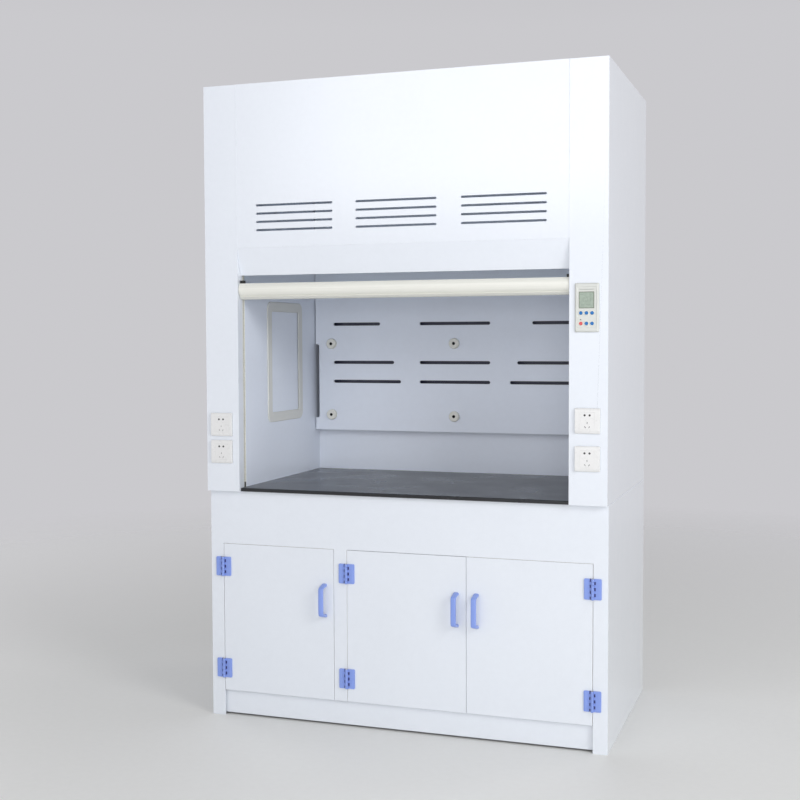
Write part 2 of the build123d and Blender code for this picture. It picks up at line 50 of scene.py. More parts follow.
# places in millimetres, the same as in the CAD
FRONT = -417.5           # front plane of the hood
FACE = -392.5            # front plane of the base cabinet and its doors
BACK = 432.5             # outer face of the back panels
TOP = 2350.0             # outer face of the hood top
CORNER = 742.0           # half width between the seams of the side panels
WORKTOP = 868.0          # upper face of the worktop
LINER_Y = FRONT + 766.0  # front face of the back liner
BOSS_Y = FRONT + 703.0   # front face of the rod sockets
JAMB = 618.0             # half width of the chamber
COLLAR = (0.0, 142.5)    # axis of the exhaust collar
FLANGE_TOP = 2356.0
FLANGE_SCREWS = 144.0    # radius of the flange's screw circle
ROD_X = (-539.0, 0.0, 539.0)     # rod sockets in the baffle
ROD_Z = (1102.0, 1400.0)
ROPE_X = 642.0
ROPE_NEAR = FRONT + 48.5         # the run that carries the sash
ROPE_FAR = FRONT + 128.5         # the run that carries the counterweight
PULLEY_Z = 2285.0
PULLEY_R = 40.0          # to the middle of the rope
LUG_Z = 1625.0
WEIGHT_Z = 1290.0        # top of a counterweight
TUBE = (FRONT + 180.0, 2276.0)   # axis of the lamp tube, in depth and height
CONTROL = (679.0, 1522.0)
SCREEN = (678.0, 1547.5)
BUTTON_X = (659.0, 678.0, 697.0)
BUTTON_Z = (1504.0, 1469.0)
DOOR_AXES = {"door_left": (-698.0, -1), "door_middle": (-201.3, -1), "door_right": (698.0, 1)}
HANDLE_X = {"door_left": -289.4, "door_middle": 212.8, "door_right": 286.2}
HINGE_Z = (182.0, 568.0)
LEAF_TALL = 72.0
LEAF_WIDE = 30.0
NOTCH = 10.5             # from the hinge axis to the leaf where the other leaf's knuckle sits
KNUCKLES = 7
HANDLE_Z = 464.0
HANDLE_HALF = 56.0       # between a handle's middle and its screws
OUTLET_HALF = 43.0
OUTLETS = ((682.0, 1142.0), (682.0, 1014.0), (-687.0, 1104.0), (-687.0, 1003.0))


# ---- materials ------------------------------------------------------------
class Look:
    """A Principled material with noise layers for its colour, gloss and relief."""

    def __init__(self, name, color, rough, **sockets):
        self.material = bpy.data.materials.new(name)
        self.material.use_nodes = True
        self.tree = self.material.node_tree
        self.shader = self.tree.nodes["Principled BSDF"]
        self.shader.inputs["Base Color"].default_value = (*color, 1)
        self.shader.inputs["Roughness"].default_value = rough
        for socket, value in sockets.items():
            self.shader.inputs[socket.replace("_", " ")].default_value = value
        self.color = color
        self.paint = None
        self.normal = None
        self.place = self.add("ShaderNodeTexCoord").outputs["Object"]

    def add(self, kind, settings=None, **sockets):
        made = self.tree.nodes.new(kind)
        for key, value in (settings or {}).items():
            setattr(made, key, value)
        for socket, value in sockets.items():
            if isinstance(value, bpy.types.NodeSocket):
                self.tree.links.new(value, made.inputs[socket])
            else:
                made.inputs[socket].default_value = value
        return made

    def stretched(self, stretch):
        return self.add("ShaderNodeMapping", Vector=self.place, Scale=stretch).outputs["Vector"]

    def noise(self, scale, detail=3.0, stretch=(1, 1, 1), distortion=0.0):
        made = self.add("ShaderNodeTexNoise", Vector=self.stretched(stretch), Scale=scale,
                        Detail=detail, Distortion=distortion)
        return made.outputs["Fac"]

    def cells(self, scale, stretch=(1, 1, 1)):
        made = self.add("ShaderNodeTexVoronoi", Vector=self.stretched(stretch), Scale=scale)
        return made.outputs["Distance"]

    def ramp(self, factor, low, high, span):
        """low below the span of the factor, high above it; each a grey or a colour."""
        made = self.add("ShaderNodeValToRGB", Fac=factor)
        for stop, place, value in zip(made.color_ramp.elements, span, (low, high)):
            stop.position = place
            stop.color = (*value, 1) if hasattr(value, "__len__") else (value, value, value, 1)
        return made.outputs["Color"]

    def tint(self, factor, low, high, span=(0.35, 0.65)):
        """Multiplies the colour by low to high, so that it changes over the surface."""
        if self.paint is None:
            scaled = [tuple(part * c for part, c in zip(self.color, self.triple(v))) for v in (low, high)]
            self.paint = self.ramp(factor, *scaled, span)
        else:
            mix = self.add("ShaderNodeMix", {"data_type": "RGBA", "blend_type": "MULTIPLY"})
            mix.inputs[0].default_value = 1.0
            self.tree.links.new(self.paint, mix.inputs[6])
            self.tree.links.new(self.ramp(factor, low, high, span), mix.inputs[7])
            self.paint = mix.outputs[2]
        self.tree.links.new(self.paint, self.shader.inputs["Base Color"])
        return self

    def triple(self, value):
        return tuple(value) if hasattr(value, "__len__") else (value, value, value)

    def gloss(self, factor, low, high, span=(0.35, 0.65)):
        self.tree.links.new(self.ramp(factor, low, high, span), self.shader.inputs["Roughness"])
        return self

    def relief(self, factor, distance, strength=1.0):
        bump = self.add("ShaderNodeBump", Height=factor, Distance=distance, Strength=strength)
        if self.normal is not None:
            self.tree.links.new(self.normal, bump.inputs["Normal"])
        self.normal = bump.outputs["Normal"]
        self.tree.links.new(self.normal, self.shader.inputs["Normal"])
        return self


def sheet_plastic(name, color, rough, coat):
    """Pressed polypropylene sheet: glossy, a little wavy, with faint clouding and fine scuffs."""
    look = Look(name, color, rough, Coat_Weight=coat, Coat_Roughness=0.07, Coat_IOR=1.5, IOR=1.49)
    look.tint(look.noise(1.7, 2.0), 0.985, 1.0)
    look.tint(look.noise(55.0, 4.0), 0.985, 1.0, (0.3, 0.7))
    look.gloss(look.noise(24.0, 5.0, (1, 1, 0.35)), rough - 0.04, rough + 0.06)
    look.relief(look.noise(2.2, 1.0), 0.0035, 0.5)
    look.relief(look.noise(420.0, 2.0), 0.00004, 0.6)
    return look


def planed_edge(name, color):
    """The cut and scraped edge of a plastic sheet: duller and finely striated."""
    look = Look(name, color, 0.5, IOR=1.49)
    look.tint(look.noise(160.0, 4.0, (1, 1, 0.2)), 0.9, 1.0)
    look.relief(look.noise(900.0, 3.0, (1, 1, 0.15)), 0.00005)
    return look


def moulded(name, color, rough, grain=700.0, deep=0.00003, **sockets):
    """An injection-moulded part: even colour, satin skin with a fine grain."""
    look = Look(name, color, rough, **sockets)
    look.tint(look.noise(12.0, 2.0), 0.975, 1.0)
    look.gloss(look.noise(90.0, 4.0), rough - 0.04, rough + 0.06)
    look.relief(look.noise(grain, 2.0), deep)
    return look


def extruded_look(name, color, rough):
    """An extruded plastic section: smooth, with faint die lines along X."""
    look = Look(name, color, rough, Coat_Weight=0.35, Coat_Roughness=0.15)
    look.tint(look.noise(200.0, 2.0, (0.02, 1, 1)), 0.98, 1.0)
    look.gloss(look.noise(260.0, 3.0, (0.01, 1, 1)), rough - 0.03, rough + 0.05)
    look.relief(look.noise(900.0, 2.0, (0.01, 1, 1)), 0.00002)
    return look


def plenum_shade_look(name, color):
    """The back liner: its own colour below about 1.04 m, and painted shade above it that darkens the plenum
    behind the baffle.
    """
    look = sheet_plastic(name, color, 0.36, 0.3)
    height = look.add("ShaderNodeSeparateXYZ", Vector=look.stretched((1, 1, 0.5))).outputs["Z"]
    # painted shade: above about 1.04 m the colour drops to a few per cent, standing for the shadow in the
    # plenum
    look.tint(height, (1.0, 1.0, 1.0), (0.06, 0.06, 0.10), (0.516, 0.524))
    return look


def worktop_look():
    """Dark epoxy slab: fine light speckle, faint wipe marks, satin gloss."""
    look = Look("worktop_slate", (0.042, 0.046, 0.056), 0.3, IOR=1.56)
    look.tint(look.noise(900.0, 2.0), 0.7, 1.5, (0.4, 0.62))
    look.tint(look.noise(5.0, 3.0), 0.9, 1.05)
    look.tint(look.cells(260.0), 1.5, 1.0, (0.0, 0.16))
    look.gloss(look.noise(6.0, 3.0), 0.26, 0.32)
    look.relief(look.noise(500.0, 2.0), 0.00005)
    depth = look.add("ShaderNodeSeparateXYZ", Vector=look.stretched((1, -1, 1))).outputs["Y"]
    look.tint(depth, 1.0, 0.05, (0.4055, 0.4066))
    return look


def rubber_look():
    look = Look("rubber_black", (0.018, 0.018, 0.019), 0.62)
    look.tint(look.noise(80.0, 4.0), 0.75, 1.35)
    look.gloss(look.noise(60.0, 4.0), 0.52, 0.72)
    look.relief(look.noise(1400.0, 2.0), 0.00006)
    return look


def steel_look(name, color, rough, grain):
    """Drawn or brushed steel, with the grain stretched along one axis."""
    look = Look(name, color, rough, Metallic=1.0)
    look.tint(look.noise(300.0, 4.0, grain), 0.8, 1.0)
    look.gloss(look.noise(260.0, 4.0, grain), rough - 0.08, rough + 0.1)
    look.relief(look.noise(600.0, 3.0, grain), 0.00004)
    return look


def painted_look(name, color):
    """Powder coat: low sheen and orange peel."""
    look = Look(name, color, 0.42)
    look.tint(look.noise(12.0, 3.0), 0.93, 1.03)
    look.gloss(look.noise(70.0, 4.0), 0.36, 0.5)
    look.relief(look.noise(520.0, 2.0), 0.00012)
    return look


def rope_look():
    """Wire rope: strands that wind round the run."""
    look = Look("rope_steel", (0.5, 0.5, 0.5), 0.34, Metallic=1.0)
    wave = look.add("ShaderNodeTexWave", {"wave_type": "BANDS", "bands_direction": "DIAGONAL"},
                    Vector=look.place, Scale=260.0, Distortion=0.6, Detail=1.0)
    look.tint(wave.outputs["Fac"], 0.45, 1.0, (0.2, 0.7))
    look.relief(wave.outputs["Fac"], 0.0003)
    return look


def pane_look(name, tint):
    """Float glass: clear head on, reflecting at a glance, with faint wipe haze."""
    material = bpy.data.materials.new(name)
    material.use_nodes = True
    tree = material.node_tree
    tree.nodes.remove(tree.nodes["Principled BSDF"])
    new = tree.nodes.new
    clear, mirror = new("ShaderNodeBsdfTransparent"), new("ShaderNodeBsdfGlossy")
    clear.inputs["Color"].default_value = (*tint, 1)
    mirror.inputs["Color"].default_value = (1, 1, 1, 1)
    edge = new("ShaderNodeFresnel")
    edge.inputs["IOR"].default_value = 1.5
    place = new("ShaderNodeTexCoord")
    haze = new("ShaderNodeTexNoise")
    haze.inputs["Scale"].default_value = 7.0
    haze.inputs["Detail"].default_value = 5.0
    tree.links.new(place.outputs["Object"], haze.inputs["Vector"])
    span = new("ShaderNodeMapRange")
    span.inputs["From Min"].default_value = 0.35
    span.inputs["From Max"].default_value = 0.75
    span.inputs["To Min"].default_value = 0.01
    span.inputs["To Max"].default_value = 0.09
    tree.links.new(haze.outputs["Fac"], span.inputs["Value"])
    tree.links.new(span.outputs["Result"], mirror.inputs["Roughness"])
    mix = new("ShaderNodeMixShader")
    tree.links.new(edge.outputs["Fac"], mix.inputs["Fac"])
    tree.links.new(clear.outputs["BSDF"], mix.inputs[1])
    tree.links.new(mirror.outputs["BSDF"], mix.inputs[2])
    tree.links.new(mix.outputs["Shader"], tree.nodes["Material Output"].inputs["Surface"])
    return material


SHELL = (0.79, 0.83, 0.89)
# LINER_SHADE_BLUE is the shell's sheet again with a bluer tint: painted shade, the blue cast the chamber's
# inside takes in shadow
LINER_SHADE_BLUE = (0.83, 0.885, 0.985)
LOOKS = {
    "pp_shell": sheet_plastic("sheet_shell", SHELL, 0.34, 1.0).material,
    "pp_liner": sheet_plastic("sheet_liner_shade_blue", LINER_SHADE_BLUE, 0.36, 0.35).material,
    # the back liner, with painted shade in the plenum behind the baffle
    "plenum": plenum_shade_look("sheet_plenum_painted_shade", LINER_SHADE_BLUE).material,
    "edge": planed_edge("sheet_edge", (0.84, 0.87, 0.93)).material,
    "pp_blue": moulded("moulded_blue", (0.245, 0.35, 0.79), 0.33, Coat_Weight=0.2).material,
    # dark navy, painted shade for the floors of the hinge notches
    "blue_painted_shade": moulded("moulded_painted_shade", (0.07, 0.075, 0.27), 0.5).material,
    "worktop_dark": worktop_look().material,
    "cream_pvc": extruded_look("extruded_cream", (0.80, 0.80, 0.74), 0.28).material,
    "cream_rubber": moulded("moulded_gasket", (0.74, 0.75, 0.72), 0.42, 900.0, 0.00002).material,
    "black_rubber": rubber_look().material,
    "clear_glass": pane_look("pane_glass", (0.975, 0.99, 1.0)),
    "outlet_white": moulded("moulded_white", (0.79, 0.79, 0.785), 0.3, Coat_Weight=0.25).material,
    # near black, painted shade inside the rod socket bores
    "bore_shade_black": moulded("bore_painted_shade", (0.015, 0.015, 0.018), 0.6).material,
    # near black, painted shade in the outlet contact holes
    "hole_shade_dark": moulded("moulded_hole_shade", (0.02, 0.02, 0.022), 0.5).material,
    "seal_cream": moulded("moulded_seal", (0.78, 0.76, 0.70), 0.55, 900.0, 0.00002).material,
    "housing_cream": moulded("moulded_housing", (0.66, 0.675, 0.64), 0.32, 500.0, 0.00005).material,
    "screen_grey": moulded("screen_glass", (0.34, 0.41, 0.34), 0.25, Coat_Weight=0.3).material,
    "screen_olive": moulded("screen_border", (0.16, 0.18, 0.13), 0.35).material,
    "screen_ink": moulded("screen_ink", (0.20, 0.25, 0.20), 0.4).material,
    "ring_cream": moulded("ring_cream", (0.80, 0.79, 0.70), 0.35).material,
    "button_blue": moulded("button_blue", (0.008, 0.16, 0.47), 0.3).material,
    "button_red": moulded("button_red", (0.68, 0.09, 0.10), 0.3).material,
    "steel": steel_look("drawn_steel", (0.6, 0.61, 0.62), 0.3, (0.05, 1, 1)).material,
    "painted_steel": painted_look("painted_weight", (0.05, 0.052, 0.056)).material,
    "lamp_white": painted_look("painted_lamp", (0.8, 0.81, 0.81)).material,
    "tube_glass": moulded("tube_phosphor", (0.9, 0.9, 0.88), 0.2, Coat_Weight=0.6).material,
    "nylon": moulded("nylon_white", (0.8, 0.8, 0.77), 0.5, 500.0, 0.00008).material,
    "rope": rope_look().material,
}

# Which look each CAD node takes, and how wide its worn edge is in millimetres.
FINISH = {
    "pp_shell": (
        "base_side_left base_side_right base_back base_floor base_deck base_divider plinth face_frame "
        "hood_side_left hood_side_right hood_back hood_top exhaust_collar pillar_left pillar_right fascia "
        "header door_left door_middle door_right", 0.7),
    "pp_liner": ("liner_left liner_right access_panels baffle chamber_ceiling", 0.7),
    "plenum": ("back_liner", 0.7),
    "worktop_dark": ("worktop", 0.8),
    "cream_pvc": ("sash_bar sash_frame sash_tracks rod_sockets", 0.7),
    "black_rubber": ("bar_bumpers track_stops", 0.8),
    "clear_glass": ("sash_glass lamp_glass", 0.5),
    "screen_grey": ("controller_screen", 0.3),
    "button_blue": ("lamp_button fan_button socket_button down_button up_button", 0.3),
    "button_red": ("power_button", 0.3),
    "steel": ("hinge_pins pulley_shaft", 0.4),
    "painted_steel": ("counterweights", 1.2),
    "lamp_white": ("lamp_housing", 0.5),
    "tube_glass": ("lamp_tube", 0.8),
    "nylon": ("sash_pulleys", 0.5),
}


# ---- finishing a mesh -------------------------------------------------------
def smooth_group():
    """A node group that shades every face smooth."""
    group = bpy.data.node_groups.new("shade_smooth", "GeometryNodeTree")
    group.interface.new_socket("Geometry", in_out="INPUT", socket_type="NodeSocketGeometry")
    group.interface.new_socket("Geometry", in_out="OUTPUT", socket_type="NodeSocketGeometry")
    start, end = group.nodes.new("NodeGroupInput"), group.nodes.new("NodeGroupOutput")
    shade = group.nodes.new("GeometryNodeSetShadeSmooth")
    group.links.new(start.outputs[0], shade.inputs["Geometry"])
    group.links.new(shade.outputs[0], end.inputs[0])
    return group


SMOOTH = smooth_group()


def soften(piece, wide, edge_slot=None, clean=True):
    """Rounds every sharp edge by wide metres and shades the result smooth."""
    if clean:
        piece.modifiers.new("weld", "WELD").merge_threshold = 1e-5
        flat = piece.modifiers.new("flat", "DECIMATE")
        flat.decimate_type = "DISSOLVE"
        flat.angle_limit = 0.02
        flat.delimit = {"NORMAL"}
    bevel = piece.modifiers.new("edge", "BEVEL")
    bevel.width = wide
    bevel.segments = 2
    bevel.limit_method = "ANGLE"
    bevel.angle_limit = 0.6
    bevel.miter_outer = "MITER_ARC"
    if edge_slot is not None:
        bevel.material = edge_slot
    piece.modifiers.new("smooth", "NODES").node_group = SMOOTH
    piece.modifiers.new("normals", "WEIGHTED_NORMAL").keep_sharp = False


def finish_nodes():
    for slot, (names, wide) in FINISH.items():
        for name in names.split():
            piece = NODES[name]
            for place in piece.material_slots:
                place.material = LOOKS[slot]
            sheet = slot in ("pp_shell", "pp_liner")
            if sheet:
                piece.data.materials.append(LOOKS["edge"])
            soften(piece, wide * MM, 1 if sheet else None)


finish_nodes()


# ---- building meshes ----------------------------------------------------------
def rounded(half_u, half_v, radius, steps=5, middle=(0.0, 0.0)):
    """A rounded rectangle as a closed list of (u, v)."""
    points = []
    for turn, (su, sv) in enumerate(((1, 1), (-1, 1), (-1, -1), (1, -1))):
        for step in range(steps + 1):
            angle = math.pi / 2 * (turn + step / steps)
            points.append((middle[0] + su * (half_u - radius) + radius * math.cos(angle),
                           middle[1] + sv * (half_v - radius) + radius * math.sin(angle)))
    return points


def circle(radius, count=24, middle=(0.0, 0.0)):
    angles = [2 * math.pi * k / count for k in range(count)]
    return [(middle[0] + radius * math.cos(a), middle[1] + radius * math.sin(a)) for a in angles]


def on_front(u, v, out):
    """Millimetres across, up and out of the hood's front plane, as a point."""
    return Vector((u, FRONT - out, v)) * MM


def on_face(u, v, out):
    """The same for the plane of the base cabinet's doors."""
    return Vector((u, FACE - out, v)) * MM


def on_flange(u, v, out):
    """The same for the upper face of the exhaust collar's flange, with v along Y."""
    return Vector((u, v, FLANGE_TOP + out)) * MM


def in_bore(u, v, deep):
    """The same for the face of the rod sockets, going into the bore."""
    return Vector((u, BOSS_Y + deep, v)) * MM


class Shape:
    """Points and faces of one piece, gathered from several closed solids."""

    def __init__(self):
        self.points, self.faces = [], []

    def take(self, points, faces):
        base = len(self.points)
        self.points.extend(points)
        self.faces.extend(tuple(base + index for index in face) for face in faces)

    def loft(self, rings, closed=False):
        """A skin over rings with the same number of points, capped or joined end to end."""
        count, total = len(rings[0]), len(rings)
        faces = []
        for level in range(total if closed else total - 1):
            low, high = level * count, (level + 1) % total * count
            for i in range(count):
                after = (i + 1) % count
                faces.append((low + i, low + after, high + after, high + i))
        if not closed:
            faces += [tuple(range(count)), tuple(range((total - 1) * count, total * count))]
        self.take([point for ring in rings for point in ring], faces)

    def step(self, place, rows, closed=False):
        """A loft of flat outlines: rows are (outline, height) and place maps (u, v, height)."""
        self.loft([[place(u, v, height) for u, v in outline] for outline, height in rows], closed)

    def plate(self, place, outline, holes, low, high, round_edge):
        """A flat plate with holes and rounded edges, between two heights."""
        curve = bpy.data.curves.new("plate", "CURVE")
        curve.dimensions = "2D"
        curve.fill_mode = "BOTH"
        curve.bevel_depth = round_edge
        curve.bevel_resolution = 2
        curve.offset = -round_edge
        curve.extrude = (high - low) / 2 - round_edge
        for loop in (outline, *holes):
            spline = curve.splines.new("POLY")
            spline.points.add(len(loop) - 1)
            for point, (u, v) in zip(spline.points, loop):
                point.co = (u, v, 0, 1)
            spline.use_cyclic_u = True
        holder = bpy.data.objects.new("plate", curve)
        mesh = bpy.data.meshes.new_from_object(holder)
        middle = (high + low) / 2
        points = [place(v.co.x, v.co.y, v.co.z + middle) for v in mesh.vertices]
        self.take(points, [tuple(p.vertices) for p in mesh.polygons])
        bpy.data.objects.remove(holder)
        bpy.data.curves.remove(curve)
        bpy.data.meshes.remove(mesh)

    def tube(self, path, section):
        """A skin along a list of points; section(index) gives (across, along the other way) pairs."""
        rings = []
        side = None
        for index, point in enumerate(path):
            ahead = path[min(index + 1, len(path) - 1)] - path[max(index - 1, 0)]
            ahead.normalize()
            if side is None:
                side = ahead.orthogonal().normalized()
            side = (side - ahead * side.dot(ahead)).normalized()
            other = ahead.cross(side)
            rings.append([point + side * a + other * b for a, b in section(index)])
        self.loft(rings)

    def build(self, name, look, body=None, replaced=(), slot=None):
        mesh = bpy.data.meshes.new(name)
        mesh.from_pydata([tuple(point) for point in self.points], [], self.faces)
        work = bmesh.new()
        work.from_mesh(mesh)
        bmesh.ops.remove_doubles(work, verts=work.verts, dist=1e-7)
        bmesh.ops.recalc_face_normals(work, faces=work.faces)
        work.to_mesh(mesh)
        work.free()
        mesh.shade_smooth()
        mesh.materials.append(LOOKS[look])
        made = bpy.data.objects.new(name, mesh)
        bpy.context.scene.collection.objects.link(made)
        made.modifiers.new("normals", "WEIGHTED_NORMAL").keep_sharp = False
        if body:
            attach(made, body)
        if replaced:
            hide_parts(*replaced)
        return made


# ---- hinges and handles ---------------------------------------------------------
def hinge_leaf(shape, notch_shade, axis_x, low_z, side):
    """A leaf with rounded corners, a raised screw cover, every second knuckle, and dark navy plates in the
    notch floors: painted shade standing for the depth of the notches.
    """
    def place(u, v, out):
        return on_face(axis_x + side * u, low_z + v, out)

    corner, steps, slack = 4.0, 5, 0.2
    pitch = LEAF_TALL / KNUCKLES
    first = 0 if side > 0 else 1
    spans = [(index * pitch + slack, (index + 1) * pitch - slack) for index in range(KNUCKLES)]
    own, other = spans[first::2], spans[1 - first::2]
    outline = [] if first == 0 else [(NOTCH, 0.0)]
    for low, high in own:
        outline += [(NOTCH, low), (1.0, low), (1.0, high), (NOTCH, high)]
    outline += [] if first == 0 else [(NOTCH, LEAF_TALL)]
    for middle_v, start in ((LEAF_TALL - corner, 90), (corner, 0)):
        for step in range(steps + 1):
            angle = math.radians(start - 90 * step / steps)
            u = LEAF_WIDE - corner + corner * math.cos(angle)
            outline.append((u, middle_v + corner * math.sin(angle)))
    shape.plate(place, outline, [], 0.0, 5.0, 0.7)
    middle = (22.0, LEAF_TALL / 2)
    rows = [(5.6, 32.0, 2.4, 4.5), (5.6, 32.0, 2.4, 5.2), (5.2, 31.6, 2.2, 5.6), (4.4, 30.8, 1.6, 5.75)]
    shape.step(place, [(rounded(u, v, r, 4, middle), out) for u, v, r, out in rows])
    for low, high in own:
        rings = []
        for height, radius in ((low, 4.9), (low + 0.25, 5.3), (low + 0.8, 5.5),
                               (high - 0.8, 5.5), (high - 0.25, 5.3), (high, 4.9)):
            rings.append([place(a, height, 8.0 + b) for a, b in circle(radius, 28)])
        shape.loft(rings)
    # painted shade: a dark navy plate at the floor of each notch where the other leaf's knuckle sits
    for low, high in other:
        shade_outline = rounded(4.2, (high - low) / 2 + 0.3, 0.4, 2, (7.2, (low + high) / 2))
        notch_shade.step(place, [(shade_outline, out) for out in (0.05, 1.2)])


def hinges():
    fixed, fixed_notch_shade = Shape(), Shape()
    for door, (axis_x, side) in DOOR_AXES.items():
        hung, hung_notch_shade = Shape(), Shape()
        for z in HINGE_Z:
            hinge_leaf(hung, hung_notch_shade, axis_x, z - LEAF_TALL / 2, -side)
            hinge_leaf(fixed, fixed_notch_shade, axis_x, z - LEAF_TALL / 2, side)
        hung.build(f"{door}_leaves", "pp_blue", door, [f"{door}_hinge_leaves"])
        hung_notch_shade.build(f"{door}_leaf_painted_shade", "blue_painted_shade", door, slot="pp_blue")
    fixed.build("frame_leaves", "pp_blue", "hood", ["hinge_frame_leaves"])
    fixed_notch_shade.build("frame_leaf_painted_shade", "blue_painted_shade", "hood", slot="pp_blue")


def eased(points, times=3):
    """Cuts the corners of a line of points a few times over, so that it runs smoothly."""
    for _ in range(times):
        cut = [points[0]]
        for a, b in zip(points, points[1:]):
            cut += [a * 0.75 + b * 0.25, a * 0.25 + b * 0.75]
        points = cut + [points[-1]]
    return points


def bow_handle(door, x):
    """A moulded bow pull: flat oval grip, slanted legs that widen into the feet."""
    half = [(-1.0, 56.5), (6.0, 55.6), (18.0, 53.4), (28.5, 50.6), (33.0, 48.4), (35.2, 44.0), (35.6, 37.0),
            (35.8, 18.0), (36.0, 0.0)]
    line = half + [(out, -v) for out, v in half[-2::-1]]
    path = eased([Vector((0.0, v, out)) for out, v in line])
    shape = Shape()
    rings = []
    for index, point in enumerate(path):
        ahead = (path[min(index + 1, len(path) - 1)] - path[max(index - 1, 0)]).normalized()
        outward = Vector((0.0, ahead.z, -ahead.y))
        foot = max(0.0, 1.0 - point.z / 22.0)
        thick, wide = 4.4 + 1.8 * foot, 9.6 + 0.4 * foot
        ring = []
        for k in range(28):
            angle = 2 * math.pi * k / 28
            c, s = math.cos(angle), math.sin(angle)
            a = wide * math.copysign(abs(c) ** 0.55, c)
            b = thick * math.copysign(abs(s) ** 0.7, s)
            flat = point + Vector((a, 0, 0)) + outward * b
            ring.append(on_face(x + flat.x, HANDLE_Z + flat.y, max(flat.z, 0.0)))
        rings.append(ring)
    shape.loft(rings)
    shape.build(f"{door}_bow", "pp_blue", door, [f"{door}_handle"])


def handle_screws(door, x):
    """Two pan-head screws with washers through the back of the door sheet."""
    shape = Shape()
    for v in (HANDLE_Z - HANDLE_HALF, HANDLE_Z + HANDLE_HALF):
        rows = [(6.0, 8.0), (6.0, 8.9), (5.6, 9.1), (4.3, 9.1), (4.3, 10.2), (3.9, 11.2), (2.9, 11.7),
                (1.5, 11.8), (1.5, 10.4)]
        shape.step(on_face, [(circle(r, 24, (x, v)), -deep) for r, deep in rows])
    shape.build(f"{door}_screws", "steel", door, slot="steel")


def door_seals():
    """Cream seal beads set back in the gaps of the door openings."""
    shape = Shape()
    top, low = 654.3, 100.0
    upright = [(-697.72, low, top), (-252.28, low, top), (-201.72, low, top), (697.72, low, top)]
    level = [(-697.4, -252.6), (249.9, 697.4)]
    for u, start, end in upright:
        outline = rounded(0.26, (end - start) / 2, 0.2, 2, (u, (start + end) / 2))
        shape.step(on_face, [(outline, out) for out in (-6.5, -1.6)])
    for start, end in level:
        outline = rounded((end - start) / 2, 0.4, 0.3, 2, ((start + end) / 2, 654.55))
        shape.step(on_face, [(outline, out) for out in (-6.5, -1.2)])
    shape.build("door_seals", "seal_cream", "hood", slot="cream_pvc")


# ---- chamber pieces ---------------------------------------------------------------
def gaskets():
    """Soft push-in frames around the two access openings: rounded lips with a valley between."""
    shape = Shape()
    middle = (FRONT + 415.0, 1330.5)
    half_u, half_v = 165.0, 235.5
    profile = [(0.0, 0.0, 30), (0.0, 1.6, 30), (0.7, 3.0, 29.5), (2.4, 3.9, 28), (4.6, 4.0, 26),
               (8.0, 3.4, 24), (19.0, 3.1, 18), (30.0, 3.4, 12), (33.6, 4.0, 11), (35.8, 3.9, 10),
               (37.4, 3.0, 9), (38.0, 1.6, 8), (38.0, 0.0, 8)]
    for side in (-1, 1):
        def place(u, v, out):
            return Vector((side * (JAMB - out), u, v)) * MM
        rows = [(rounded(half_u - i, half_v - i, r, 10, middle), out) for i, out, r in profile]
        shape.step(place, rows, closed=True)
    shape.build("gasket_rings", "cream_rubber", "hood", ["access_gaskets"], "cream_pvc")


def strand(shape, path):
    """A laid wire rope along a path: three lobes that wind round it."""
    travelled = [0.0]
    for a, b in zip(path, path[1:]):
        travelled.append(travelled[-1] + (b - a).length)

    def section(index):
        turn = 2 * math.pi * travelled[index] / (14.0 * MM)
        pairs = []
        for k in range(12):
            angle = 2 * math.pi * k / 12
            radius = (1.32 + 0.18 * math.cos(3 * angle)) * MM
            pairs.append((radius * math.cos(angle + turn), radius * math.sin(angle + turn)))
        return pairs

    shape.tube(path, section)


def run(start, end, pitch):
    """Points evenly spaced from start to end."""
    count = max(2, round((end - start).length / pitch))
    return [start.lerp(end, k / count) for k in range(count + 1)]


def ropes():
    """On each side a fixed wrap over the pulley, and two straight runs, one to the sash lug and one to the
    counterweight.
    """
    pitch = 2.2 * MM
    pulley_y = (ROPE_NEAR + ROPE_FAR) / 2
    half_turn = [math.pi * k / 60 for k in range(61)]
    for side, word in ((-1, "left"), (1, "right")):
        x = side * ROPE_X
        lug, up = Vector((x, ROPE_NEAR, LUG_Z)) * MM, Vector((x, ROPE_NEAR, PULLEY_Z)) * MM
        down, weight = Vector((x, ROPE_FAR, PULLEY_Z)) * MM, Vector((x, ROPE_FAR, WEIGHT_Z)) * MM
        wrap = Shape()
        arc = []
        for a in half_turn:
            y, z = pulley_y - PULLEY_R * math.cos(a), PULLEY_Z + PULLEY_R * math.sin(a)
            arc.append(Vector((x, y, z)) * MM)
        strand(wrap, arc)
        wrap.build(f"rope_wrap_{word}", "rope", "hood", ["lift_ropes"] if side < 0 else (), "steel")
        for name, ends, body in (("sash", (up, lug), "sash"), ("weight", (down, weight), "counterweights")):
            shape = Shape()
            strand(shape, run(*ends, pitch))
            rope = shape.build(f"rope_{name}_{word}", "rope", slot="steel")
            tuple(ends[0])
            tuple(ends[1])
            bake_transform(rope)


def weld_bead(shape, path, size):
    """A hot-air weld: a low rippled bead of the given radius in millimetres along a seam."""
    def section(index):
        radius = size * (1.0 + 0.12 * math.sin(index * 1.9) + 0.08 * math.sin(index * 0.7)) * MM
        return [(radius * a, radius * b) for a, b in circle(1.0, 10)]

    shape.tube(path, section)


def straight_weld(shape, start, end, size=1.0):
    weld_bead(shape, run(Vector(start) * MM, Vector(end) * MM, 4.0 * MM), size)


def round_weld(shape, middle, radius, size):
    around = [2 * math.pi * k / 120 for k in range(121)]
    x, y, z = middle
    path = [Vector((x + radius * math.cos(a), y + radius * math.sin(a), z)) * MM for a in around]
    weld_bead(shape, path, size)


